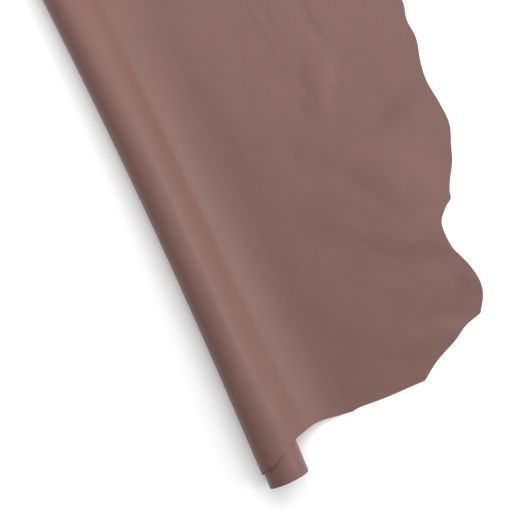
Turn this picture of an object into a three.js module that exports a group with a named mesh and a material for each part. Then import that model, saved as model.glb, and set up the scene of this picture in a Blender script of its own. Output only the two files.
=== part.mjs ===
// A whole leather hide, partly rolled. One sheet of leather: the right-hand part lies flat with its
// natural, wavy edge, then it rises over the crown of a loose roll and winds inwards.
// Millimetres. The roll lies along Y, the flat part reaches towards +X, and Z is up.
import * as THREE from 'three';

// ---------------------------------------------------------------- driving sizes

const THICKNESS = 1.5;

// The roll. A turn is counted from the crown, over the outer side and under, back to the crown.
const TURNS = 4.6;
const ROLL_HALF_WIDTH = 57;
const ROLL_HEIGHT = 76;
const CLOSER_AT_SIDE = 4.2; // how much nearer the axis each turn lies than the one around it
const CLOSER_AT_CROWN = 5.5;
const CLOSER_AT_FLOOR = 3.5;
const TURN_SHIFT = 1.6; // each turn has slipped this far towards the flat part
const TUCK_TOWARDS = 40; // degrees above level: where the inner turns are pressed in under the rise
const FLAT_SPOT_DEPTH = 1; // the roll's weight presses its underside flat by this much

// The whole roll bends in plan like a shallow bow.
const BOW = 24.5;
const BOW_LENGTH = 3860; // one full wave
const BOW_MIDDLE = 709; // where along Y the bow is straightest

// How finely the sheet is divided.
const FACETS_PER_TURN = 16;
const ROWS_ON_ROLL = 12;
const STEPS_ON_SHOULDER = 7;
const STEPS_ON_FOOT = 5;
const STEPS_BETWEEN_NEAR_POINTS = 2;

// The rise from the floor to the crown, section by section along Y. The crown leans away from the
// flat part, and the inner turns are tucked in under the rise by so much. The shoulder leaves the
// crown level, passes the knee at a slope in degrees, and the foot runs out level where it touches
// down.
const DRAPE = [
  { along: 0, crown: -2, tuck: 0, shoulder: 45, kneeX: 98, kneeZ: 25, kneeSlope: 28, touch: 221 },
  { along: 160, crown: -4, tuck: 0, shoulder: 43, kneeX: 92, kneeZ: 25.5, kneeSlope: 28, touch: 211 },
  { along: 350, crown: -7, tuck: 4, shoulder: 39, kneeX: 82, kneeZ: 24.5, kneeSlope: 27, touch: 196 },
  { along: 560, crown: -9, tuck: 8, shoulder: 36, kneeX: 75, kneeZ: 23.5, kneeSlope: 26, touch: 187 },
  { along: 780, crown: -9, tuck: 8, shoulder: 36, kneeX: 73, kneeZ: 22.5, kneeSlope: 26, touch: 180 },
  { along: 1000, crown: -9, tuck: 8, shoulder: 36, kneeX: 72, kneeZ: 22, kneeSlope: 25, touch: 176 },
  { along: 1250, crown: -9, tuck: 8, shoulder: 36, kneeX: 74, kneeZ: 22.5, kneeSlope: 25, touch: 177 },
  { along: 1650, crown: -8, tuck: 8, shoulder: 38, kneeX: 78, kneeZ: 23, kneeSlope: 26, touch: 185 },
  { along: 2100, crown: -7, tuck: 5, shoulder: 40, kneeX: 82, kneeZ: 23, kneeSlope: 26, touch: 192 },
];
const SHOULDER_PULL = 22; // length of the curve handle above the knee
const FOOT_PULL = 26; // below the knee
const TOUCH_PULL = 52; // before the touch-down

// Where the leather ends on the roll, turn by turn: the second turn stands out past the first.
const ROLL_ENDS = [
  { turn: 0, near: 70, far: 2064 },
  { turn: 0.12, near: 51, far: 2068 },
  { turn: 0.25, near: 42, far: 2074 },
  { turn: 0.5, near: 22, far: 2086 },
  { turn: 0.75, near: 2, far: 2094 },
  { turn: 1.25, near: 0, far: 2096 },
  { turn: 2, near: 12, far: 2088 },
  { turn: 3, near: 32, far: 2070 },
  { turn: TURNS, near: 74, far: 2036 },
];

// The edge in plan. Near edge under the rise, from the crown to the touch-down.
const NEAR_RISE = [
  { x: -14, y: 70 },
  { x: 29, y: 87 },
  { x: 73, y: 93 },
  { x: 103, y: 98 },
  { x: 130, y: 96 },
  { x: 163, y: 89 },
  { x: 204, y: 82 },
];
const FAR_RISE = [
  { x: -38, y: 2064 },
  { x: 60, y: 2058 },
  { x: 155, y: 2046 },
];

// Near edge of the flat part, from the touch-down out to the corner of the hind leg.
const NEAR_EDGE = [
  { x: 204, y: 82 },
  { x: 228, y: 84 },
  { x: 293, y: 79 },
  { x: 364, y: 77 },
  { x: 400, y: 76 },
  { x: 446, y: 107 },
  { x: 509, y: 136 },
  { x: 548, y: 158 },
  { x: 594, y: 171 },
];

// Flank edge, from the corner of the hind leg to the corner of the foreleg.
const FLANK_EDGE = [
  { x: 594, y: 171 },
  { x: 618, y: 207 },
  { x: 627, y: 241 },
  { x: 622, y: 284 },
  { x: 610, y: 321 },
  { x: 600, y: 348 },
  { x: 597, y: 389 },
  { x: 603, y: 422 },
  { x: 629, y: 450 },
  { x: 647, y: 462 },
  { x: 652, y: 480 },
  { x: 665, y: 505 },
  { x: 689, y: 544 },
  { x: 705, y: 585 },
  { x: 723, y: 635 },
  { x: 722, y: 693 },
  { x: 716, y: 754 },
  { x: 722, y: 803 },
  { x: 737, y: 862 },
  { x: 735, y: 913 },
  { x: 745, y: 957 },
  { x: 742, y: 1015 },
  { x: 735, y: 1080 },
  { x: 724, y: 1145 },
  { x: 714, y: 1215 },
  { x: 710, y: 1290 },
  { x: 718, y: 1370 },
  { x: 738, y: 1450 },
  { x: 758, y: 1525 },
  { x: 762, y: 1590 },
  { x: 744, y: 1645 },
];

// Far edge of the flat part, from the touch-down out along the neck to the corner of the foreleg.
const FAR_EDGE = [
  { x: 155, y: 2046 },
  { x: 215, y: 2030 },
  { x: 275, y: 1996 },
  { x: 335, y: 1940 },
  { x: 400, y: 1872 },
  { x: 470, y: 1806 },
  { x: 545, y: 1752 },
  { x: 630, y: 1706 },
  { x: 744, y: 1645 },
];

// Soft swells where the flat part stands off the floor: a ridge line in plan, its height, and how
// far the lift reaches to each side.
const SWELLS = [
  { x1: 245, y1: 330, x2: 232, y2: 1180, height: 1.6, reach: 70 }, // springs up past the touch-down
  { x1: 498, y1: 915, x2: 460, y2: 845, height: 2.4, reach: 34 },
  { x1: 490, y1: 618, x2: 540, y2: 545, height: 4, reach: 75 },
  { x1: 440, y1: 448, x2: 590, y2: 344, height: 2.8, reach: 75 },
  { x1: 622, y1: 278, x2: 625, y2: 248, height: 2.6, reach: 38 }, // the leg's rim curls up
  { x1: 470, y1: 146, x2: 515, y2: 176, height: 2.6, reach: 52 },
  { x1: 320, y1: 205, x2: 410, y2: 248, height: 2.8, reach: 140 },
  { x1: 560, y1: 1400, x2: 690, y2: 1480, height: 4, reach: 90 },
  { x1: 420, y1: 1600, x2: 520, y2: 1560, height: 3.5, reach: 85 },
];

// ---------------------------------------------------------------- measuring tables and sections

// A row of the table at any place between its rows, smooth through every row.
function rowAt(table, key, place) {
  const last = table.length - 2;
  let i = 0;
  while (i < last && place > table[i + 1][key]) i += 1;
  const rows = [table[Math.max(i - 1, 0)], table[i], table[i + 1], table[Math.min(i + 2, last + 1)]];
  const gap = rows[2][key] - rows[1][key];
  const t = THREE.MathUtils.clamp((place - rows[1][key]) / gap, 0, 1);
  const row = {};
  for (const name of Object.keys(rows[1])) {
    const slope = (a, b) => (gap * (b[name] - a[name])) / (b[key] - a[key]);
    const [p, q] = [rows[1][name], rows[2][name]];
    const [m, n] = [slope(rows[0], rows[2]), slope(rows[1], rows[3])];
    row[name] = p + t * (m + t * (3 * (q - p) - 2 * m - n + t * (2 * (p - q) + m + n)));
  }
  return row;
}

function bowAt(y) {
  return -BOW * (1 - Math.cos((2 * Math.PI * (y - BOW_MIDDLE)) / BOW_LENGTH));
}

// The middle of the leather's thickness on the roll: its place and its outward normal.
function rollPoint(turn, y) {
  const angle = 2 * Math.PI * turn;
  const halfWidth = ROLL_HALF_WIDTH - THICKNESS / 2 - CLOSER_AT_SIDE * turn;
  const crown = ROLL_HEIGHT - THICKNESS / 2 - CLOSER_AT_CROWN * turn;
  const lowest = THICKNESS / 2 - FLAT_SPOT_DEPTH + CLOSER_AT_FLOOR * (turn - 0.5);
  const halfHeight = (crown - lowest) / 2;
  const row = rowAt(DRAPE, 'along', y);
  const lean = row.crown * Math.max(Math.cos(angle), 0) * Math.max(1 - turn, 0);
  const tuckAngle = THREE.MathUtils.degToRad(TUCK_TOWARDS);
  const facing = Math.cos(angle) * Math.sin(tuckAngle) - Math.sin(angle) * Math.cos(tuckAngle);
  const tuck = turn > 0.5 ? row.tuck * Math.max(facing, 0) ** 2 : 0;
  const x = lean + TURN_SHIFT * turn - halfWidth * Math.sin(angle) - tuck * Math.cos(tuckAngle);
  const z = (crown + lowest) / 2 + halfHeight * Math.cos(angle) - tuck * Math.sin(tuckAngle);
  const point = new THREE.Vector3(bowAt(y) + x, y, z);
  const normal = new THREE.Vector3(-halfHeight * Math.sin(angle), 0, halfWidth * Math.cos(angle));
  normal.normalize();
  if (z < THICKNESS / 2) {
    point.z = THICKNESS / 2;
    normal.set(0, 0, -1);
  }
  return { point, normal };
}

// The rise: step 0 is the crown, 1 the knee and 2 the touch-down.
function risePoint(step, y) {
  const row = rowAt(DRAPE, 'along', y);
  const slope = THREE.MathUtils.degToRad(row.kneeSlope);
  const down = new THREE.Vector2(Math.cos(slope), -Math.sin(slope));
  const crown = new THREE.Vector2(row.crown, ROLL_HEIGHT - THICKNESS / 2);
  const knee = new THREE.Vector2(row.kneeX, row.kneeZ);
  const touch = new THREE.Vector2(row.touch, THICKNESS / 2);
  const curve = step < 1
    ? new THREE.CubicBezierCurve(
      crown,
      new THREE.Vector2(row.shoulder, crown.y),
      knee.clone().addScaledVector(down, -SHOULDER_PULL),
      knee,
    )
    : new THREE.CubicBezierCurve(
      knee,
      knee.clone().addScaledVector(down, FOOT_PULL),
      touch.clone().sub(new THREE.Vector2(TOUCH_PULL, 0)),
      touch,
    );
  const at = curve.getPoint(step < 1 ? step : step - 1);
  const along = curve.getTangent(step < 1 ? step : step - 1);
  return {
    point: new THREE.Vector3(bowAt(y) + at.x, y, at.y),
    normal: new THREE.Vector3(-along.y, 0, along.x),
  };
}

// How far the flat part stands off the floor at a place in plan.
function liftAt(x, y) {
  const place = new THREE.Vector3(x, y, 0);
  let lift = 0;
  for (const { x1, y1, x2, y2, height, reach } of SWELLS) {
    const ridge = new THREE.Line3(new THREE.Vector3(x1, y1, 0), new THREE.Vector3(x2, y2, 0));
    const near = ridge.closestPointToPoint(place, true, new THREE.Vector3());
    const far = Math.min(near.distanceTo(place) / reach, 1);
    lift += height * (1 - far * far) ** 2;
  }
  return lift;
}

// ---------------------------------------------------------------- the sheet, column by column

// Each column is a line of places along Y, all at one distance across the hide, listed from the
// near end to the far end. Columns run from the hidden inner end of the roll out to the flank.

function rollColumns() {
  const columns = [];
  const facets = Math.floor(TURNS * FACETS_PER_TURN);
  for (let facet = facets; facet >= 0; facet -= 1) {
    const turn = (facet + 0.5) / FACETS_PER_TURN;
    const ends = rowAt(ROLL_ENDS, 'turn', turn);
    const column = [];
    for (let row = 0; row < ROWS_ON_ROLL; row += 1) {
      const y = THREE.MathUtils.lerp(ends.near, ends.far, row / (ROWS_ON_ROLL - 1));
      column.push(rollPoint(turn, y));
    }
    columns.push(column);
  }
  return columns;
}

// The share of the whole length at which each row of the flat part stands.
function flankShares() {
  const lengths = [0];
  for (let i = 1; i < FLANK_EDGE.length; i += 1) {
    const [a, b] = [FLANK_EDGE[i - 1], FLANK_EDGE[i]];
    lengths.push(lengths[i - 1] + Math.hypot(b.x - a.x, b.y - a.y));
  }
  return lengths.map((length) => length / lengths[lengths.length - 1]);
}

function riseColumns(shares) {
  const columns = [];
  const steps = [];
  for (let i = 0; i < STEPS_ON_SHOULDER; i += 1) steps.push(i / STEPS_ON_SHOULDER);
  for (let i = 0; i < STEPS_ON_FOOT; i += 1) steps.push(1 + i / STEPS_ON_FOOT);
  for (const step of steps) {
    const near = rowAt(NEAR_RISE, 'x', risePoint(step, NEAR_EDGE[0].y).point.x).y;
    const far = rowAt(FAR_RISE, 'x', risePoint(step, FAR_EDGE[0].y).point.x).y;
    columns.push(shares.map((share) => risePoint(step, THREE.MathUtils.lerp(near, far, share))));
  }
  return columns;
}

// The flat part is spanned between its four edges: the touch-down line, the flank, and the near
// and far edges.
function flatColumns(shares) {
  const columns = [];
  const intervals = NEAR_EDGE.length - 1;
  const count = intervals * STEPS_BETWEEN_NEAR_POINTS;
  const numbered = (table) => table.map((row, number) => ({ ...row, number }));
  const [nearEdge, farEdge] = [numbered(NEAR_EDGE), numbered(FAR_EDGE)];
  const [near0, far0] = [NEAR_EDGE[0], FAR_EDGE[0]];
  const [near1, far1] = [NEAR_EDGE[intervals], FAR_EDGE[intervals]];
  for (let i = 0; i <= count; i += 1) {
    const across = i / count;
    const near = rowAt(nearEdge, 'number', across * intervals);
    const far = rowAt(farEdge, 'number', across * intervals);
    const column = shares.map((share, j) => {
      const startY = THREE.MathUtils.lerp(near0.y, far0.y, share);
      const start = { x: risePoint(2, startY).point.x, y: startY };
      const end = FLANK_EDGE[j];
      const span = (axis) => (1 - across) * start[axis] + across * end[axis]
        + (1 - share) * near[axis] + share * far[axis]
        - (1 - share) * ((1 - across) * near0[axis] + across * near1[axis])
        - share * ((1 - across) * far0[axis] + across * far1[axis]);
      const [x, y] = [span('x'), span('y')];
      return {
        point: new THREE.Vector3(x, y, THICKNESS / 2 + liftAt(x, y)),
        normal: new THREE.Vector3(0, 0, 1),
      };
    });
    columns.push(column);
  }
  return columns;
}

// ---------------------------------------------------------------- the solid

// The triangles between two neighbouring columns, whose places need not pair off.
function zip(left, right, indexOf) {
  const triangles = [];
  let [i, j] = [0, 0];
  while (i < left.length - 1 || j < right.length - 1) {
    const leftNext = i < left.length - 1 ? left[i + 1].point.y : Infinity;
    const rightNext = j < right.length - 1 ? right[j + 1].point.y : Infinity;
    if (leftNext < rightNext) {
      triangles.push([indexOf(left[i]), indexOf(right[j]), indexOf(left[i + 1])]);
      i += 1;
    } else {
      triangles.push([indexOf(left[i]), indexOf(right[j]), indexOf(right[j + 1])]);
      j += 1;
    }
  }
  return triangles;
}

// Grain side, flesh side and the cut edge around them.
function sheetGeometry(columns) {
  const places = columns.flat();
  const number = new Map(places.map((place, i) => [place, i]));
  const flesh = places.length;
  const positions = [];
  for (const side of [0.5, -0.5]) {
    for (const { point, normal } of places) {
      positions.push(...point.clone().addScaledVector(normal, side * THICKNESS).toArray());
    }
  }
  const faces = [];
  for (let i = 0; i < columns.length - 1; i += 1) {
    for (const [a, b, c] of zip(columns[i], columns[i + 1], (place) => number.get(place))) {
      faces.push(a, b, c, flesh + a, flesh + c, flesh + b);
    }
  }
  const first = columns[0];
  const last = columns[columns.length - 1];
  const nearEnds = columns.map((column) => column[0]);
  const farEnds = columns.map((column) => column[column.length - 1]).reverse();
  const rim = [...nearEnds, ...last.slice(1), ...farEnds.slice(1), ...first.slice(1, -1).reverse()];
  rim.forEach((place, i) => {
    const a = number.get(place);
    const b = number.get(rim[(i + 1) % rim.length]);
    faces.push(a, flesh + a, flesh + b, a, flesh + b, b);
  });
  const geometry = new THREE.BufferGeometry();
  geometry.setAttribute('position', new THREE.Float32BufferAttribute(positions, 3));
  geometry.setIndex(faces);
  return geometry;
}

// The origin is on the floor, under the middle of the whole hide.
function centreOnFloor(geometry) {
  geometry.computeBoundingBox();
  const middle = geometry.boundingBox.getCenter(new THREE.Vector3());
  geometry.translate(-middle.x, -middle.y, 0);
}

const shares = flankShares();
const geometry = sheetGeometry([...rollColumns(), ...riseColumns(shares), ...flatColumns(shares)]);
centreOnFloor(geometry);

const leather = new THREE.MeshStandardMaterial({ color: 0x8a6a65, roughness: 0.55, metalness: 0 });
const hide = new THREE.Mesh(geometry, leather);
hide.name = 'hide';

const group = new THREE.Group();
group.add(hide);
export default group;
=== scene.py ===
"""A whole leather hide, partly rolled: smooth mauve-brown grain side out, on a pale studio floor."""
import math

import bpy
import numpy as np
from mathutils import Matrix, Vector, noise


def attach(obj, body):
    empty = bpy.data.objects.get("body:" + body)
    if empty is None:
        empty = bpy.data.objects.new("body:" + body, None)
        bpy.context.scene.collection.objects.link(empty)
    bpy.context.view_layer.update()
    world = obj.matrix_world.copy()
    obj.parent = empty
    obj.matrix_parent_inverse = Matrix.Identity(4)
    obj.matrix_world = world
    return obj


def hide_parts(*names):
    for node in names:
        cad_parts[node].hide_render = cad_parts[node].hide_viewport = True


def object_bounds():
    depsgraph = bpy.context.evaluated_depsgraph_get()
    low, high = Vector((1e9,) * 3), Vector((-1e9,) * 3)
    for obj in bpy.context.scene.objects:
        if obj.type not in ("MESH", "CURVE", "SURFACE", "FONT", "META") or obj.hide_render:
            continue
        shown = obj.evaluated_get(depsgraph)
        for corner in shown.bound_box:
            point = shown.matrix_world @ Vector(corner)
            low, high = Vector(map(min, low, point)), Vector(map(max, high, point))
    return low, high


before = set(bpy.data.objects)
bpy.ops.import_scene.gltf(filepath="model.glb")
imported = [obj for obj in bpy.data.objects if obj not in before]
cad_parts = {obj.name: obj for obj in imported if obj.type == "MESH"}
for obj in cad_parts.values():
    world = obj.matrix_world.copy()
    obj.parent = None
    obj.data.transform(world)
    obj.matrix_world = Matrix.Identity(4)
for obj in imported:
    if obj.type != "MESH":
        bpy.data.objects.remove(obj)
cad_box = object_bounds()
MM = 0.001

# ------------------------------------------------------------------ the hide's sizes, in millimetres
# x runs from the roll's crown towards the flank, y along the roll, z up from the floor.

THICKNESS = 1.5

# The roll's windings, from the crown inwards: each turn is closer to the middle than the one before.
TURNS = 4.6
ROLL_HALF_WIDTH = 57
ROLL_HEIGHT = 76
CLOSER_AT_SIDE = 4.2
CLOSER_AT_CROWN = 5.5
CLOSER_AT_FLOOR = 3.5
TURN_SHIFT = 1.6
TUCK_TOWARDS = 40
FLAT_SPOT_DEPTH = 1

# The roll's bend in plan.
BOW = 24.5
BOW_LENGTH = 3860
BOW_MIDDLE = 709

# The rise from the floor to the crown: it leaves the crown level, passes the knee at a slope in
# degrees and runs out level where it touches down.
DRAPE = (
    dict(along=0, crown=4, tuck=0, shoulder=41, knee_x=96,
         knee_z=26.5, slope=26, touch=216, foot_pull=39, touch_pull=41),
    dict(along=160, crown=-5, tuck=0, shoulder=41, knee_x=91,
         knee_z=26.5, slope=25.5, touch=207, foot_pull=39, touch_pull=41),
    dict(along=350, crown=-7, tuck=4, shoulder=36, knee_x=83,
         knee_z=23, slope=23, touch=193, foot_pull=39, touch_pull=42),
    dict(along=560, crown=-9, tuck=8, shoulder=36, knee_x=75,
         knee_z=23.5, slope=26, touch=187, foot_pull=30, touch_pull=49),
    dict(along=780, crown=-9, tuck=8, shoulder=36, knee_x=73,
         knee_z=22.5, slope=26, touch=180, foot_pull=26, touch_pull=52),
    dict(along=1000, crown=-9, tuck=8, shoulder=36, knee_x=74,
         knee_z=22, slope=25, touch=176, foot_pull=26, touch_pull=52),
    dict(along=1250, crown=-9, tuck=8, shoulder=36, knee_x=78,
         knee_z=22.5, slope=25, touch=177, foot_pull=26, touch_pull=52),
    dict(along=1650, crown=-8, tuck=8, shoulder=38, knee_x=78,
         knee_z=23, slope=26, touch=185, foot_pull=26, touch_pull=52),
    dict(along=2100, crown=-7, tuck=5, shoulder=40, knee_x=82,
         knee_z=23, slope=26, touch=192, foot_pull=26, touch_pull=52),
)
SHOULDER_PULL = 22

# Where the leather ends on the roll, turn by turn.
ROLL_ENDS = (
    dict(turn=0, near=62, far=2064),
    dict(turn=0.05, near=52.5, far=2066),
    dict(turn=0.08, near=50, far=2067),
    dict(turn=0.12, near=48, far=2068),
    dict(turn=0.25, near=40, far=2074),
    dict(turn=0.5, near=22, far=2086),
    dict(turn=0.75, near=2, far=2094),
    dict(turn=1.25, near=0, far=2096),
    dict(turn=2, near=12, far=2088),
    dict(turn=3, near=32, far=2070),
    dict(turn=TURNS, near=74, far=2036),
)

# The cut edges of the rise, in plan.
NEAR_RISE = (
    dict(x=-14.5, y=62),
    dict(x=-8, y=66),
    dict(x=29, y=81),
    dict(x=48, y=88),
    dict(x=73, y=92),
    dict(x=103, y=96.5),
    dict(x=130, y=94.5),
    dict(x=163, y=88),
    dict(x=204, y=82),
)
FAR_RISE = (dict(x=-38, y=2064), dict(x=60, y=2058), dict(x=155, y=2046))

# Beside the near cut edge of the outer turn, the turn below fills out against it.
FILLED_OUT = (
    dict(turn=0.75, height=0),
    dict(turn=0.8, height=0.7),
    dict(turn=0.85, height=1.2),
    dict(turn=0.9, height=1.4),
    dict(turn=0.95, height=1.9),
    dict(turn=0.99, height=2.5),
    dict(turn=1.04, height=1.4),
    dict(turn=1.08, height=0),
)
FILLED_OUT_FADES, FILLED_OUT_ENDS = 90, 150

# The cut edges of the flat part. The knife turned sharply at the places marked crisp.
NEAR_EDGE = (
    dict(x=204, y=82),
    dict(x=228, y=84),
    dict(x=293, y=79),
    dict(x=364, y=77),
    dict(x=400, y=76, crisp=True),
    dict(x=446, y=107),
    dict(x=509, y=136),
    dict(x=548, y=158),
    dict(x=594, y=171),
)
FLANK_EDGE = (
    dict(x=594, y=171),
    dict(x=618, y=207),
    dict(x=627, y=241),
    dict(x=622, y=284),
    dict(x=610, y=321),
    dict(x=600, y=348),
    dict(x=597, y=389),
    dict(x=603, y=422),
    dict(x=629, y=450),
    dict(x=647, y=462),
    dict(x=652, y=480, crisp=True),
    dict(x=665, y=505),
    dict(x=689, y=544),
    dict(x=705, y=585),
    dict(x=723, y=635),
    dict(x=722, y=693),
    dict(x=716, y=754),
    dict(x=722, y=803),
    dict(x=737, y=862),
    dict(x=735, y=913),
    dict(x=745, y=957),
    dict(x=742, y=1015),
    dict(x=735, y=1080),
    dict(x=724, y=1145),
    dict(x=714, y=1215),
    dict(x=710, y=1290),
    dict(x=718, y=1370),
    dict(x=738, y=1450),
    dict(x=758, y=1525),
    dict(x=762, y=1590),
    dict(x=744, y=1645),
)
FAR_EDGE = (
    dict(x=155, y=2046),
    dict(x=215, y=2030),
    dict(x=275, y=1996),
    dict(x=335, y=1940),
    dict(x=400, y=1872),
    dict(x=470, y=1806),
    dict(x=545, y=1752),
    dict(x=630, y=1706),
    dict(x=744, y=1645),
)

# Soft swells and hollows of the flat part, where it doesn't quite lie on the floor. Each follows a
# line of (x, y, height), and reaches so far to the line's left and to its right.
SWELLS = (
    # the sheet springs a little behind its touch-down
    dict(line=((262, 150, 0.4), (248, 350, 1.1), (240, 560, 1.1), (235, 780, 1.4), (232, 1000, 1.6),
               (233, 1180, 1.4), (238, 1500, 1.4), (240, 1850, 0.6)), left=62, right=110),
    # it is a little proud where it is creased
    dict(line=((515, 900, 0.2), (500, 960, 1.2), (488, 1030, 1.8), (478, 1110, 1.8), (470, 1220, 1.4)),
         left=120, right=120),
    dict(line=((527, 970, 0.27), (509, 938, 2.43), (492, 906, 4.59), (476, 877, 5.27), (460, 848, 4.32),
               (442, 815, 2.7), (416, 778, 1.35), (386, 737, 0.14)), left=54, right=46),
    dict(line=((437, 676, 0.36), (470, 640, 2.4), (503, 602, 3.8), (528, 566, 4.2), (544, 530, 3.2),
               (553, 490, 1.3), (561, 459, 0.24)), left=150, right=60),
    dict(line=((392, 511, 0.45), (421, 483, 2.46), (456, 452, 4.14), (497, 421, 4.37), (543, 391, 3.25),
               (597, 356, 1.79)), left=180, right=52),
    dict(line=((416, 312, 1.2), (477, 302, 2.0), (541, 297, 2.2)), left=50, right=120),
    dict(line=((606, 290, 0.48), (612, 268, 1.92), (606, 248, 0.72)), left=50, right=34),
    dict(line=((367, 200, 0.5), (413, 180, 1.3), (461, 165, 2.5), (512, 155, 3.0)), left=50, right=56),
    dict(line=((300, 180, 0.72), (350, 236, 3.12), (420, 250, 1.2)), left=150, right=140),
    dict(line=((235, 900, 0.6), (262, 861, 1.2), (300, 790, 0.6)), left=150, right=150),
    dict(line=((560, 1400, 2), (690, 1480, 4)), left=90, right=90),
    dict(line=((420, 1600, 2), (520, 1560, 3.5)), left=85, right=85),
)

# Creases pressed in while the hide was rolled, and the low folds beside them.
CREASES = (
    dict(line=((528, 1240, -0.6), (518, 1093, -1.8), (513, 1044, -1.92), (512, 1019, -1.8), (516, 994, -1.56),
               (522, 969, -1.2), (530, 940, -0.72), (541, 912, -0.12)), left=15, right=50),
    dict(line=((495, 1079, 0.12), (489, 1035, 0.42), (494, 1005, 0.6), (495, 971, 0.6), (499, 935, 0.12)),
         left=8, right=10),
    dict(line=((450, 1200, 0.26), (444, 1093, 0.72), (434, 1062, 0.72), (433, 1028, 0.26)),
         left=12, right=14),
    dict(line=((404, 1150, 0.14), (394, 1092, 0.61), (404, 1060, 0.68), (405, 1011, 0.61), (409, 963, 0.47),
               (418, 915, 0.14)), left=9, right=12),
)

# Places painted darker or lighter by such a share; those marked below are painted shade and painted light.
PAINTED_LIGHT_AND_TONE = (
    # painted shade: the dark flank of a low ridge on the flat
    dict(line=((700, 745, -0.05), (645, 735, -0.13), (614, 722, -0.12), (586, 708, -0.13), (552, 687, -0.08)),
         left=46, right=46),
    # painted light on the lit flank of the creased ridge
    dict(line=((515, 905, 0.03), (498, 871, 0.07), (465, 817, 0.06)), left=24, right=24),
    # these two are painted light on the lit slopes beside that shaded flank
    dict(line=((574, 773, 0.03), (546, 747, 0.02)), left=30, right=30),
    dict(line=((661, 686, 0.05), (658, 632, 0.05)), left=40, right=40),
    # painted light on the lit upper flank of the long swell
    dict(line=((557, 659, 0.04), (597, 597, 0.06), (639, 539, 0.055), (650, 484, 0.04)), left=60, right=60),
    # painted shade: a dark patch of shading on the flat
    dict(line=((310, 566, -0.1), (330, 524, -0.12)), left=56, right=56),
    dict(line=((199, 712, -0.04), (190, 681, -0.02)), left=20, right=22),
    dict(line=((437, 104, 0.04), (447, 112, 0.04)), left=26, right=26),
    dict(line=((562, 877, -0.03), (597, 823, -0.05), (599, 778, -0.03)), left=45, right=45),
    dict(line=((249, 201, -0.03), (195, 157, -0.04)), left=50, right=50),
    dict(line=((236, 351, -0.03), (267, 270, -0.04)), left=45, right=45),
    # painted shade beside the lifted, curling edge
    dict(line=((594, 278, -0.13), (590, 246, -0.12)), left=46, right=46),
    dict(line=((281, 985, 0.02), (331, 902, 0.03), (388, 859, 0.03)), left=80, right=80),
    dict(line=((356, 730, -0.02), (424, 699, -0.03)), left=40, right=40),
)

# How far such places wander off their lines, and over what length.
SWELL_WANDER = dict(much=14, size=60)
CREASE_WANDER = dict(much=3, size=25)
PAINTED_LIGHT_WANDER = dict(much=12, size=40)
WANDER_SEED = 5

# Healed scratches of the grain: where each runs, its width, and how much lighter it is.
SCRATCHES = (
    dict(line=((179, 812), (201, 835), (234, 853)), width=3.5, lighter=0.07),
    dict(line=((316, 661), (322, 639), (356, 612)), width=3.0, lighter=0.05),
    dict(line=((243, 485), (254, 439), (260, 386)), width=5.0, lighter=-0.045),
    dict(line=((200, 494), (206, 431)), width=4.0, lighter=-0.03),
    dict(line=((225, 502), (231, 425)), width=4.0, lighter=-0.035),
)

# How finely the sheet is divided.
STEP_IN_VIEW = 6
STEP_PAST_VIEW = 16
VIEW_ENDS = 1215
STEPS_PER_NEAR_POINT = 16
STEPS_ON_SHOULDER = 24
STEPS_ON_FOOT = 20
FACETS_ON_OUTER_FACE = 16
OUTER_FACE_ENDS = 0.25
FACETS_PER_TURN = 20
ROWS_ON_INNER_TURNS = 60
INNER_TURNS_START = 0.3
SMOOTH_UP_TO = math.radians(50)


# ------------------------------------------------------------------ tables, curves and sections

noise.seed_set(WANDER_SEED)


def row_at(table, key, place):
    """A row of the table at any place between its rows, smooth through every row but the crisp ones."""
    last = len(table) - 2
    i = 0
    while i < last and place > table[i + 1][key]:
        i += 1
    before, left, right, after = table[max(i - 1, 0)], table[i], table[i + 1], table[min(i + 2, last + 1)]
    if left.get("crisp"):
        before = left
    if right.get("crisp"):
        after = right
    gap = right[key] - left[key]
    t = min(max((place - left[key]) / gap, 0), 1)
    row = {}
    for name in left:
        if name == "crisp":
            continue
        p, q = left[name], right[name]
        m = gap * (q - before[name]) / (right[key] - before[key])
        n = gap * (after[name] - p) / (after[key] - left[key])
        row[name] = p + t * (m + t * (3 * (q - p) - 2 * m - n + t * (2 * (p - q) + m + n)))
    return row


def numbered(table):
    return [dict(row, number=i) for i, row in enumerate(table)]


def bow_at(y):
    return -BOW * (1 - math.cos(2 * math.pi * (y - BOW_MIDDLE) / BOW_LENGTH))


def roll_point(turn, y):
    """The middle of the leather's thickness on the roll."""
    angle = 2 * math.pi * turn
    half_width = ROLL_HALF_WIDTH - THICKNESS / 2 - CLOSER_AT_SIDE * turn
    crown = ROLL_HEIGHT - THICKNESS / 2 - CLOSER_AT_CROWN * turn
    lowest = THICKNESS / 2 - FLAT_SPOT_DEPTH + CLOSER_AT_FLOOR * (turn - 0.5)
    row = row_at(DRAPE, "along", y)
    lean = row["crown"] * max(math.cos(angle), 0) * max(1 - turn, 0)
    tuck_x, tuck_z = math.cos(math.radians(TUCK_TOWARDS)), math.sin(math.radians(TUCK_TOWARDS))
    facing = max(tuck_z * math.cos(angle) - tuck_x * math.sin(angle), 0) if turn > 0.5 else 0
    tuck = row["tuck"] * facing**2
    x = lean + TURN_SHIFT * turn - half_width * math.sin(angle) - tuck * tuck_x
    z = (crown + lowest) / 2 + (crown - lowest) / 2 * math.cos(angle) - tuck * tuck_z
    return (bow_at(y) + x, y, max(z, THICKNESS / 2))


def bezier(points, t):
    s = 1 - t
    weights = (s * s * s, 3 * s * s * t, 3 * s * t * t, t * t * t)
    return [sum(w * p[axis] for w, p in zip(weights, points)) for axis in (0, 1)]


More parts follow.
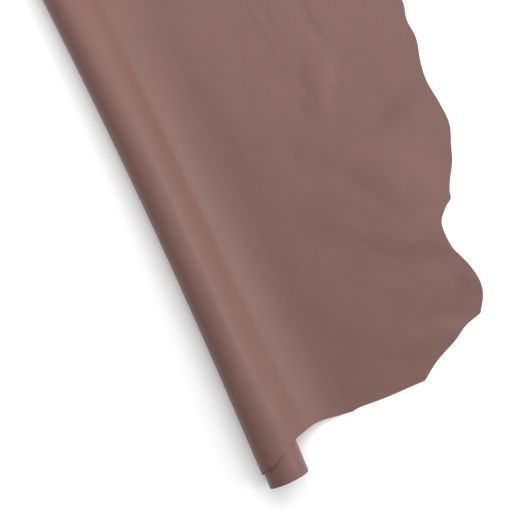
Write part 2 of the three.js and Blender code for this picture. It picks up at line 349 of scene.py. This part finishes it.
def rise_point(step, y):
    """The rise: step 0 is the crown, 1 the knee and 2 the touch-down."""
    row = row_at(DRAPE, "along", y)
    slope = math.radians(row["slope"])
    run, fall = math.cos(slope), math.sin(slope)
    crown_z = ROLL_HEIGHT - THICKNESS / 2
    knee = (row["knee_x"], row["knee_z"])
    touch = (row["touch"], THICKNESS / 2)
    if step < 1:
        above = (knee[0] - SHOULDER_PULL * run, knee[1] + SHOULDER_PULL * fall)
        x, z = bezier(((row["crown"], crown_z), (row["shoulder"], crown_z), above, knee), step)
    else:
        below = (knee[0] + row["foot_pull"] * run, knee[1] - row["foot_pull"] * fall)
        x, z = bezier((knee, below, (touch[0] - row["touch_pull"], touch[1]), touch), step - 1)
        z += (step - 1) ** 2 * lift_at(bow_at(y) + x, y)
    return (bow_at(y) + x, y, z)


def bump_over(x, y, line, left, right):
    """The height at x, y of a rounded ridge, or trough, along a line of (x, y, height) in plan."""
    nearest, height, side = math.inf, 0, 0
    for (x1, y1, h1), (x2, y2, h2) in zip(line, line[1:]):
        dx, dy = x2 - x1, y2 - y1
        length = math.hypot(dx, dy)
        t = min(max(((x - x1) * dx + (y - y1) * dy) / length**2, 0), 1)
        away_x, away_y = x - x1 - t * dx, y - y1 - t * dy
        away = math.hypot(away_x, away_y)
        if away < nearest:
            nearest, height = away, h1 + t * (h2 - h1)
            side = (dx * away_y - dy * away_x) / (length * away) if away else 0
    reach = (left + right) / 2 + side * (left - right) / 2
    return height * (1 - (nearest / reach) ** 2) ** 2 if nearest < reach else 0


def uneven(x, y, much, size):
    """The same place moved a little, so that nothing is quite straight or round."""
    away = noise.noise_vector((x / size, y / size, 0))
    return x + much * away.x, y + much * away.y


def lift_at(x, y):
    swells = sum(bump_over(*uneven(x, y, **SWELL_WANDER), **swell) for swell in SWELLS)
    creases = sum(bump_over(*uneven(x, y, **CREASE_WANDER), **crease) for crease in CREASES)
    return max(swells + creases, 0)


# painted shade and painted light of low folds, with some plain lighter and darker patches, at a place of the
# flat part
def painted_light_and_tone_at(x, y):
    return sum(bump_over(*uneven(x, y, **PAINTED_LIGHT_WANDER), **tone_with_painted_light) for tone_with_painted_light in PAINTED_LIGHT_AND_TONE)


def eased(value, low, high):
    """Eases from 0 at low to 1 at high."""
    t = min(max((value - low) / (high - low), 0), 1)
    return t * t * (3 - 2 * t)


def filled_out(turn, place):
    """A place of the second turn, raised if it is near the outer turn's cut edge."""
    x, y, z = place
    share = 1 - eased(y, FILLED_OUT_FADES, FILLED_OUT_ENDS)
    return (x, y, z + share * row_at(FILLED_OUT, "turn", turn)["height"])


# ------------------------------------------------------------------ the sheet, column by column


def row_shares():
    """(place on the flank edge, share of its whole length) of each row of the flat part."""
    places, lengths = [0.0], [0.0]
    for i, (a, b) in enumerate(zip(FLANK_EDGE, FLANK_EDGE[1:])):
        length = math.hypot(b["x"] - a["x"], b["y"] - a["y"])
        step = STEP_IN_VIEW if a["y"] < VIEW_ENDS else STEP_PAST_VIEW
        count = max(round(length / step), 1)
        for j in range(count):
            places.append(i + (j + 1) / count)
            lengths.append(lengths[-1] + length / count)
    return [(place, length / lengths[-1]) for place, length in zip(places, lengths)]


def roll_columns(rows):
    columns = []
    outer = [OUTER_FACE_ENDS * i / FACETS_ON_OUTER_FACE for i in range(FACETS_ON_OUTER_FACE)]
    left_over = TURNS - OUTER_FACE_ENDS
    inner_count = round(left_over * FACETS_PER_TURN)
    inner = [OUTER_FACE_ENDS + left_over * i / inner_count for i in range(inner_count + 1)]
    coarse = [i / (ROWS_ON_INNER_TURNS - 1) for i in range(ROWS_ON_INNER_TURNS)]
    fine = [share for _, share in rows]
    for turn in reversed(outer[1:] + inner):
        ends = row_at(ROLL_ENDS, "turn", turn)
        shares = coarse if turn > INNER_TURNS_START else fine
        column = [roll_point(turn, ends["near"] + (ends["far"] - ends["near"]) * s) for s in shares]
        columns.append([filled_out(turn, place) for place in column])
    return columns


def rise_columns(rows):
    columns = []
    steps = [i / STEPS_ON_SHOULDER for i in range(STEPS_ON_SHOULDER)]
    steps += [1 + i / STEPS_ON_FOOT for i in range(STEPS_ON_FOOT)]
    for step in steps:
        near = row_at(NEAR_RISE, "x", rise_point(step, NEAR_EDGE[0]["y"])[0])["y"]
        far = row_at(FAR_RISE, "x", rise_point(step, FAR_EDGE[0]["y"])[0])["y"]
        columns.append([rise_point(step, near + (far - near) * share) for _, share in rows])
    return columns


def flat_columns(rows):
    """The flat part, spanned between the touch-down line, the flank, and the near and far edges."""
    columns = []
    near_edge, far_edge, flank = numbered(NEAR_EDGE), numbered(FAR_EDGE), numbered(FLANK_EDGE)
    intervals = len(NEAR_EDGE) - 1
    count = intervals * STEPS_PER_NEAR_POINT
    ends = [row_at(flank, "number", place) for place, _ in rows]
    starts = []
    for _, share in rows:
        y = NEAR_EDGE[0]["y"] + (FAR_EDGE[0]["y"] - NEAR_EDGE[0]["y"]) * share
        starts.append(dict(x=rise_point(2, y)[0], y=y))
    for i in range(count + 1):
        across = i / count
        near = row_at(near_edge, "number", across * intervals)
        far = row_at(far_edge, "number", across * intervals)
        near_line = {axis: (1 - across) * near_edge[0][axis] + across * near_edge[-1][axis] for axis in "xy"}
        far_line = {axis: (1 - across) * far_edge[0][axis] + across * far_edge[-1][axis] for axis in "xy"}
        column = []
        for (_, share), start, end in zip(rows, starts, ends):
            x, y = (
                (1 - across) * start[axis]
                + across * end[axis]
                + (1 - share) * (near[axis] - near_line[axis])
                + share * (far[axis] - far_line[axis])
                for axis in ("x", "y")
            )
            column.append((x, y, THICKNESS / 2 + lift_at(x, y)))
        columns.append(column)
    return columns


def zip_faces(left, right, left_start, right_start):
    """The faces between two neighbouring columns: quads where their places pair off."""
    if len(left) == len(right):
        return [
            (left_start + i, right_start + i, right_start + i + 1, left_start + i + 1)
            for i in range(len(left) - 1)
        ]
    faces = []
    i = j = 0
    while i < len(left) - 1 or j < len(right) - 1:
        left_next = left[i + 1][1] if i < len(left) - 1 else math.inf
        right_next = right[j + 1][1] if j < len(right) - 1 else math.inf
        if left_next < right_next:
            faces.append((left_start + i, right_start + j, left_start + i + 1))
            i += 1
        else:
            faces.append((left_start + i, right_start + j, right_start + j + 1))
            j += 1
    return faces


def sheet_mesh(columns, flat_count):
    places = [Vector(place) * MM for column in columns for place in column]
    starts = np.cumsum([0] + [len(column) for column in columns]).tolist()
    faces = []
    for i, (left, right) in enumerate(zip(columns, columns[1:])):
        faces += zip_faces(left, right, starts[i], starts[i + 1])
    mesh = bpy.data.meshes.new("hide_leather")
    mesh.from_pydata(places, [], faces)
    mesh.update()
    # painted shade and painted light of the low folds, stored on the flat part's points
    tone_with_painted_light = mesh.attributes.new("tone_with_painted_light", "FLOAT", "POINT")
    flat_from = len(places) - sum(len(column) for column in columns[-flat_count:])
    tones_with_painted_light = [painted_light_and_tone_at(x, y) for column in columns[-flat_count:] for x, y, _ in column]
    tone_with_painted_light.data.foreach_set("value", [0] * flat_from + tones_with_painted_light)
    return mesh


def make_hide():
    rows = row_shares()
    flat = flat_columns(rows)
    mesh = sheet_mesh(roll_columns(rows) + rise_columns(rows) + flat, len(flat))
    hide = bpy.data.objects.new("hide_leather", mesh)
    bpy.context.scene.collection.objects.link(hide)
    low = Vector((min(v.co[axis] for v in mesh.vertices) for axis in range(3)))
    high = Vector((max(v.co[axis] for v in mesh.vertices) for axis in range(3)))
    middle, frame_middle = (low + high) / 2, (cad_box[0] + cad_box[1]) / 2
    shift = Vector((frame_middle.x - middle.x, frame_middle.y - middle.y, 0))
    mesh.transform(Matrix.Translation(shift))
    bpy.ops.object.select_all(action="DESELECT")
    hide.select_set(True)
    bpy.context.view_layer.objects.active = hide
    bpy.ops.object.shade_smooth()
    thick = hide.modifiers.new("thickness", "SOLIDIFY")
    thick.thickness = THICKNESS * MM
    thick.offset = 0
    thick.use_rim = True
    thick.material_offset = 1
    thick.material_offset_rim = 2
    bpy.ops.object.modifier_apply(modifier="thickness")
    bpy.ops.object.shade_smooth_by_angle(angle=SMOOTH_UP_TO)
    return hide, shift


hide, shift = make_hide()

# ------------------------------------------------------------------ leather

GRAIN_COLOUR = (0.125, 0.0575, 0.0485)
GRAIN_COLOUR_WARMER = (0.131, 0.0575, 0.0475)
FLESH_COLOUR = (0.19, 0.105, 0.085)
EDGE_COLOUR = (0.20, 0.115, 0.095)


class Value:
    """A value inside a material, that sums can be written with."""

    def __init__(self, tree, socket):
        self.tree = tree
        self.socket = socket

    def node(self, kind, output, inputs, **settings):
        made = self.tree.nodes.new(kind)
        for name, setting in settings.items():
            setattr(made, name, setting)
        for name, value in inputs.items():
            if isinstance(value, Value):
                self.tree.links.new(value.socket, made.inputs[name])
            else:
                made.inputs[name].default_value = value
        return Value(self.tree, made.outputs[output])

    def sum(self, operation, *values):
        return self.node("ShaderNodeMath", 0, dict(enumerate(values)), operation=operation)

    def __add__(self, other):
        return self.sum("ADD", self, other)

    def __sub__(self, other):
        return self.sum("SUBTRACT", self, other)

    def __rsub__(self, other):
        return self.sum("SUBTRACT", other, self)

    def __mul__(self, other):
        return self.sum("MULTIPLY", self, other)

    def __truediv__(self, other):
        return self.sum("DIVIDE", self, other)

    __radd__ = __add__
    __rmul__ = __mul__

    def between(self, low, high):
        """Eases from 0 at low to 1 at high."""
        ranges = {"Value": self, "From Min": low, "From Max": high}
        return self.node("ShaderNodeMapRange", 0, ranges, interpolation_type="SMOOTHSTEP")

    def noise(self, scale, detail=2, roughness=0.5):
        inputs = {"Vector": self, "Scale": scale, "Detail": detail, "Roughness": roughness}
        return self.node("ShaderNodeTexNoise", "Fac", inputs) - 0.5

    def cells(self, scale, feature="F1"):
        inputs = {"Vector": self, "Scale": scale}
        return self.node("ShaderNodeTexVoronoi", "Distance", inputs, feature=feature)


def new_material(name):
    material = bpy.data.materials.new(name)
    material.use_nodes = True
    tree = material.node_tree
    place = Value(tree, tree.nodes.new("ShaderNodeTexCoord").outputs["Object"])
    return material, tree.nodes["Principled BSDF"], place


def connect(value, shader, name):
    value.tree.links.new(value.socket, shader.inputs[name])


def tinted(place, colour, other, share, strength):
    """A colour that leans towards another by a share, made lighter or darker by a strength."""
    mixed = place.node("ShaderNodeMix", 2, {0: share, 6: (*colour, 1), 7: (*other, 1)}, data_type="RGBA")
    return place.node("ShaderNodeVectorMath", 0, {0: mixed, "Scale": strength}, operation="SCALE")


def raised(place, height):
    """The normal of a surface with a relief of so many metres."""
    return place.node("ShaderNodeBump", 0, {"Height": height, "Distance": 1.0, "Strength": 1.0})


def scratch_over(place, shift, line, width):
    """1 along a line in plan, easing to 0 over the width."""
    x = place.node("ShaderNodeSeparateXYZ", "X", {0: place})
    y = place.node("ShaderNodeSeparateXYZ", "Y", {0: place})
    wobble = place.noise(60, 2) * 0.006
    nearest = None
    for (x1, y1), (x2, y2) in zip(line, line[1:]):
        start = Vector((x1, y1, 0)) * MM + shift
        run = Vector((x2 - x1, y2 - y1, 0)) * MM
        along = ((x - start.x) * run.x + (y - start.y) * run.y) / run.length_squared
        t = place.sum("MINIMUM", place.sum("MAXIMUM", along, 0), 1)
        off_x, off_y = x - start.x - t * run.x, y - start.y - t * run.y
        away = (off_x * run.y - off_y * run.x) / run.length + wobble
        beyond = (off_x * run.x + off_y * run.y) / run.length
        distance = place.sum("SQRT", away * away + beyond * beyond)
        nearest = distance if nearest is None else place.sum("MINIMUM", nearest, distance)
    return 1 - nearest.between(width * MM * 0.2, width * MM)


def grain_side(shift):
    material, shader, place = new_material("leather_grain_side")
    # painted shade and painted light of the low folds, read from the sheet's attribute
    tone_with_painted_light = place.node("ShaderNodeAttribute", "Fac", {}, attribute_name="tone_with_painted_light")
    patches = place.noise(11, 3, 0.55)
    mottle = place.noise(48, 3, 0.6)
    speckle = place.noise(190, 2, 0.6)
    pebbles = place.cells(620)
    pores = 1 - place.cells(330).between(0.05, 0.22)
    sparse = place.noise(70, 1).between(0.02, 0.14)
    scratches = 0
    for mark in SCRATCHES:
        scratches = scratches + scratch_over(place, shift, mark["line"], mark["width"]) * mark["lighter"]
    # the tone holds that painted shade and painted light besides the grain's own patches, mottle, pores and
    # scratches
    tone = 1 + tone_with_painted_light + patches * 0.10 + mottle * 0.10 + speckle * 0.07 - pores * sparse * 0.10 + scratches
    colour = tinted(place, GRAIN_COLOUR, GRAIN_COLOUR_WARMER, place.noise(17, 3).between(-0.12, 0.12), tone)
    connect(colour, shader, "Base Color")
    roughness = 0.46 + mottle * 0.07 + patches * 0.05 + pores * 0.06 + speckle * 0.08
    connect(roughness, shader, "Roughness")
    slack = place.noise(13, 2, 0.45) * 0.0016 + place.noise(40, 2, 0.5) * 0.00030
    grain = pebbles * -0.00010 + place.noise(900, 1) * 0.00003 - pores * 0.00004
    connect(raised(place, slack + grain), shader, "Normal")
    shader.inputs["Specular IOR Level"].default_value = 0.68
    return material


def flesh_side():
    """The suede inside of the roll."""
    material, shader, place = new_material("leather_flesh_side")
    fibres = place.noise(420, 4, 0.7)
    nap = place.noise(60, 3, 0.6)
    tone = 1 + fibres * 0.35 + nap * 0.2
    colour = tinted(place, FLESH_COLOUR, GRAIN_COLOUR, nap.between(-0.25, 0.35), tone)
    connect(colour, shader, "Base Color")
    connect(0.88 + fibres * 0.1, shader, "Roughness")
    connect(raised(place, fibres * 0.00018 + nap * 0.0003), shader, "Normal")
    shader.inputs["Specular IOR Level"].default_value = 0.3
    shader.inputs["Sheen Weight"].default_value = 0.25
    return material


def cut_edge():
    """The raw edge: paler fibres, worn darker in places."""
    material, shader, place = new_material("leather_cut_edge")
    fibres = place.noise(700, 3, 0.7)
    worn = place.noise(35, 3, 0.6)
    colour = tinted(place, EDGE_COLOUR, GRAIN_COLOUR, worn.between(-0.1, 0.25), 1 + fibres * 0.4)
    connect(colour, shader, "Base Color")
    connect(0.8 + fibres * 0.15, shader, "Roughness")
    connect(raised(place, fibres * 0.00012), shader, "Normal")
    shader.inputs["Specular IOR Level"].default_value = 0.35
    return material


for material in (grain_side(shift), flesh_side(), cut_edge()):
    hide.data.materials.append(material)

# ------------------------------------------------------------------ floor, light and camera

CAMERA_AT = Vector((145, 536, 3000)) * MM
VIEW_WIDTH = 1.28
VIEW_TURN = math.radians(24.84)
SENSOR = 36
FLOOR_WIDTH = 12

camera_data = bpy.data.cameras.new("camera")
camera_data.sensor_width = SENSOR
camera_data.lens = SENSOR * CAMERA_AT.z / VIEW_WIDTH
camera = bpy.data.objects.new("camera", camera_data)
camera.location = CAMERA_AT + shift
camera.rotation_euler = (0, 0, -VIEW_TURN)
bpy.context.scene.collection.objects.link(camera)
bpy.context.scene.camera = camera

bpy.ops.mesh.primitive_plane_add(size=FLOOR_WIDTH)
floor = bpy.context.object
floor.name = "floor"
paper = bpy.data.materials.new("pale_floor")
paper.use_nodes = True
paper_shader = paper.node_tree.nodes["Principled BSDF"]
paper_shader.inputs["Base Color"].default_value = (0.9, 0.9, 0.9, 1)
paper_shader.inputs["Roughness"].default_value = 0.9
floor.data.materials.append(paper)

world = bpy.data.worlds.new("studio")
world.use_nodes = True
world.node_tree.nodes["Background"].inputs["Color"].default_value = (1, 1, 1, 1)
world.node_tree.nodes["Background"].inputs["Strength"].default_value = 0.395
bpy.context.scene.world = world
bpy.context.scene.view_settings.view_transform = "Standard"


def softbox(name, place, aim, size, power, sheen=True):
    data = bpy.data.lights.new(name, "AREA")
    data.shape = "RECTANGLE"
    data.size, data.size_y = size
    data.energy = power
    box = bpy.data.objects.new(name, data)
    box.location = place
    box.rotation_euler = (Vector(aim) - Vector(place)).to_track_quat("-Z", "Y").to_euler()
    box.visible_glossy = sheen
    bpy.context.scene.collection.objects.link(box)


centre = Vector((camera.location.x, camera.location.y, 0))
right = Vector((math.cos(VIEW_TURN), -math.sin(VIEW_TURN), 0))
up = Vector((math.sin(VIEW_TURN), math.cos(VIEW_TURN), 0))


def at(to_right, to_top, height):
    """A place in the studio, in metres towards the view's right, its top and the ceiling."""
    return centre + right * to_right + up * to_top + Vector((0, 0, height))


softbox("key", at(2.5, 1.1, 3.1), centre, (2.2, 1.1), 40)
softbox("side", at(3.9, 6.1, 2.6), centre, (3.1, 3.1), 320, False)
softbox("side_low", at(3.4, 3.5, 2.0), centre, (2.4, 2.4), 28)
softbox("side_left", at(-1.2, 4.2, 2.2), centre, (3.0, 2.0), 83, False)
softbox("skim", at(3.6, 1.7, 0.8), centre, (1.6, 1.0), 7)
softbox("right_low", at(3.2, -0.4, 1.4), centre, (1.6, 1.2), 30, False)
softbox("top", at(-0.3, 1.6, 2.3), centre, (2.0, 1.2), 7)
softbox("top_left", at(-0.4, 1.9, 2.0), centre, (2.0, 1.2), 21, False)
softbox("ceiling", at(0, 0, 5), centre, (5.0, 5.0), 47)
softbox("front", at(0.9, -1.6, 0.6), at(0.1, -0.6, 0), (1.2, 0.5), 5, False)
softbox("fill", at(-2.6, -0.6, 0.8), centre, (2.0, 1.0), 9, False)

# ------------------------------------------------------------------ what is what

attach(hide, "root")
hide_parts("hide")
